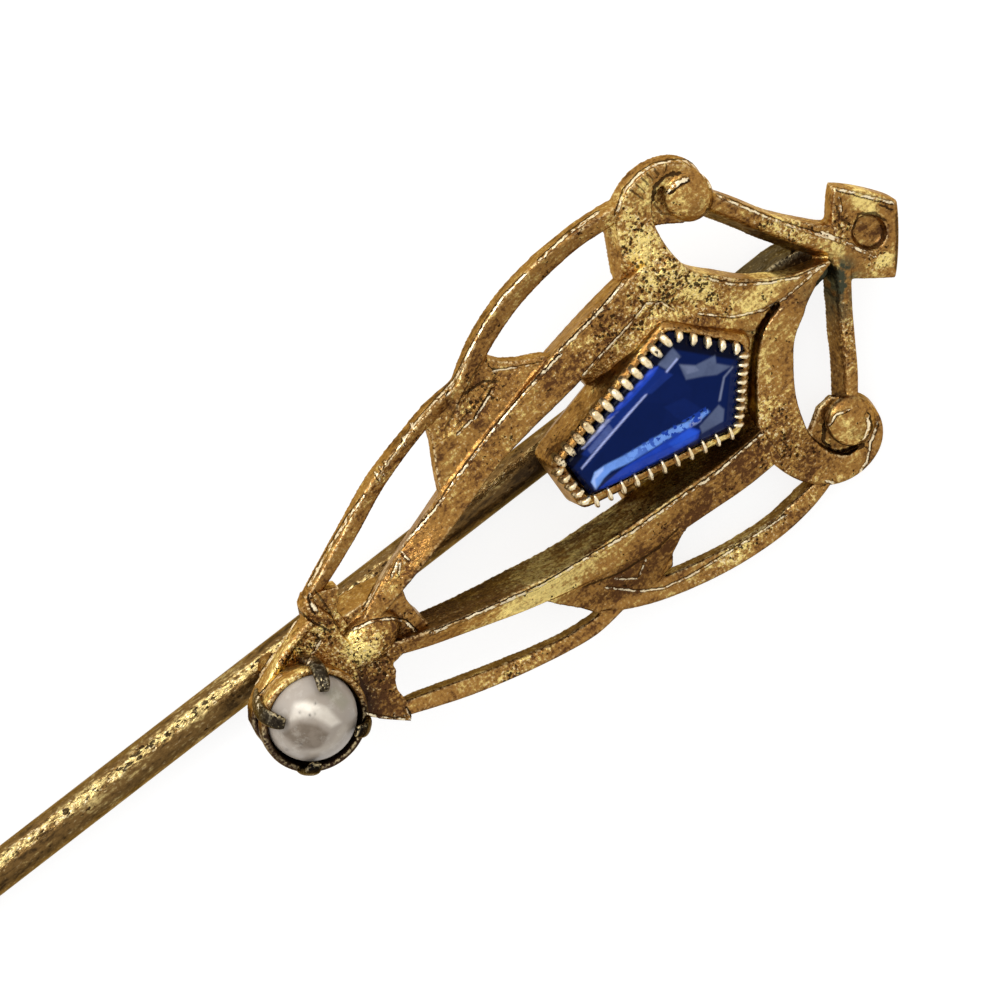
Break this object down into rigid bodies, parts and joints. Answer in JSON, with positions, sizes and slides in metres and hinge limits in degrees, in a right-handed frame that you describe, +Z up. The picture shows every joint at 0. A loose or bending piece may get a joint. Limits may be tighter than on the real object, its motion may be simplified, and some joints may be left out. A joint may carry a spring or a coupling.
{
  "type": "stick pin",
  "caption": "Stick pin with a pierced gilt head of curved arms, scrolls and a lozenge finial, which holds a kite-cut blue stone and a claw-set pearl on a long round stem.",
  "frame": {"origin": "on the surface the pin lies on, at the centre of its length and width", "axes": "+X along the stem towards the finial, +Y to the left seen from above with the finial ahead, +Z up from the surface"},
  "size_m": [0.06, 0.0102, 0.0051],
  "materials": {
    "gilt": "aged gilt metal, worn bright on its edges and dark brown in its recesses, with many tiny pits",
    "blue_stone": "polished deep blue gemstone with step-cut facets",
    "nacre": "satin greyish-white pearl with a faint mauve sheen"
  },
  "bodies": {
    "root": {"gilt_mount": "gilt", "kite_stone": "blue_stone", "pearl": "nacre"}
  },
  "joints": []
}
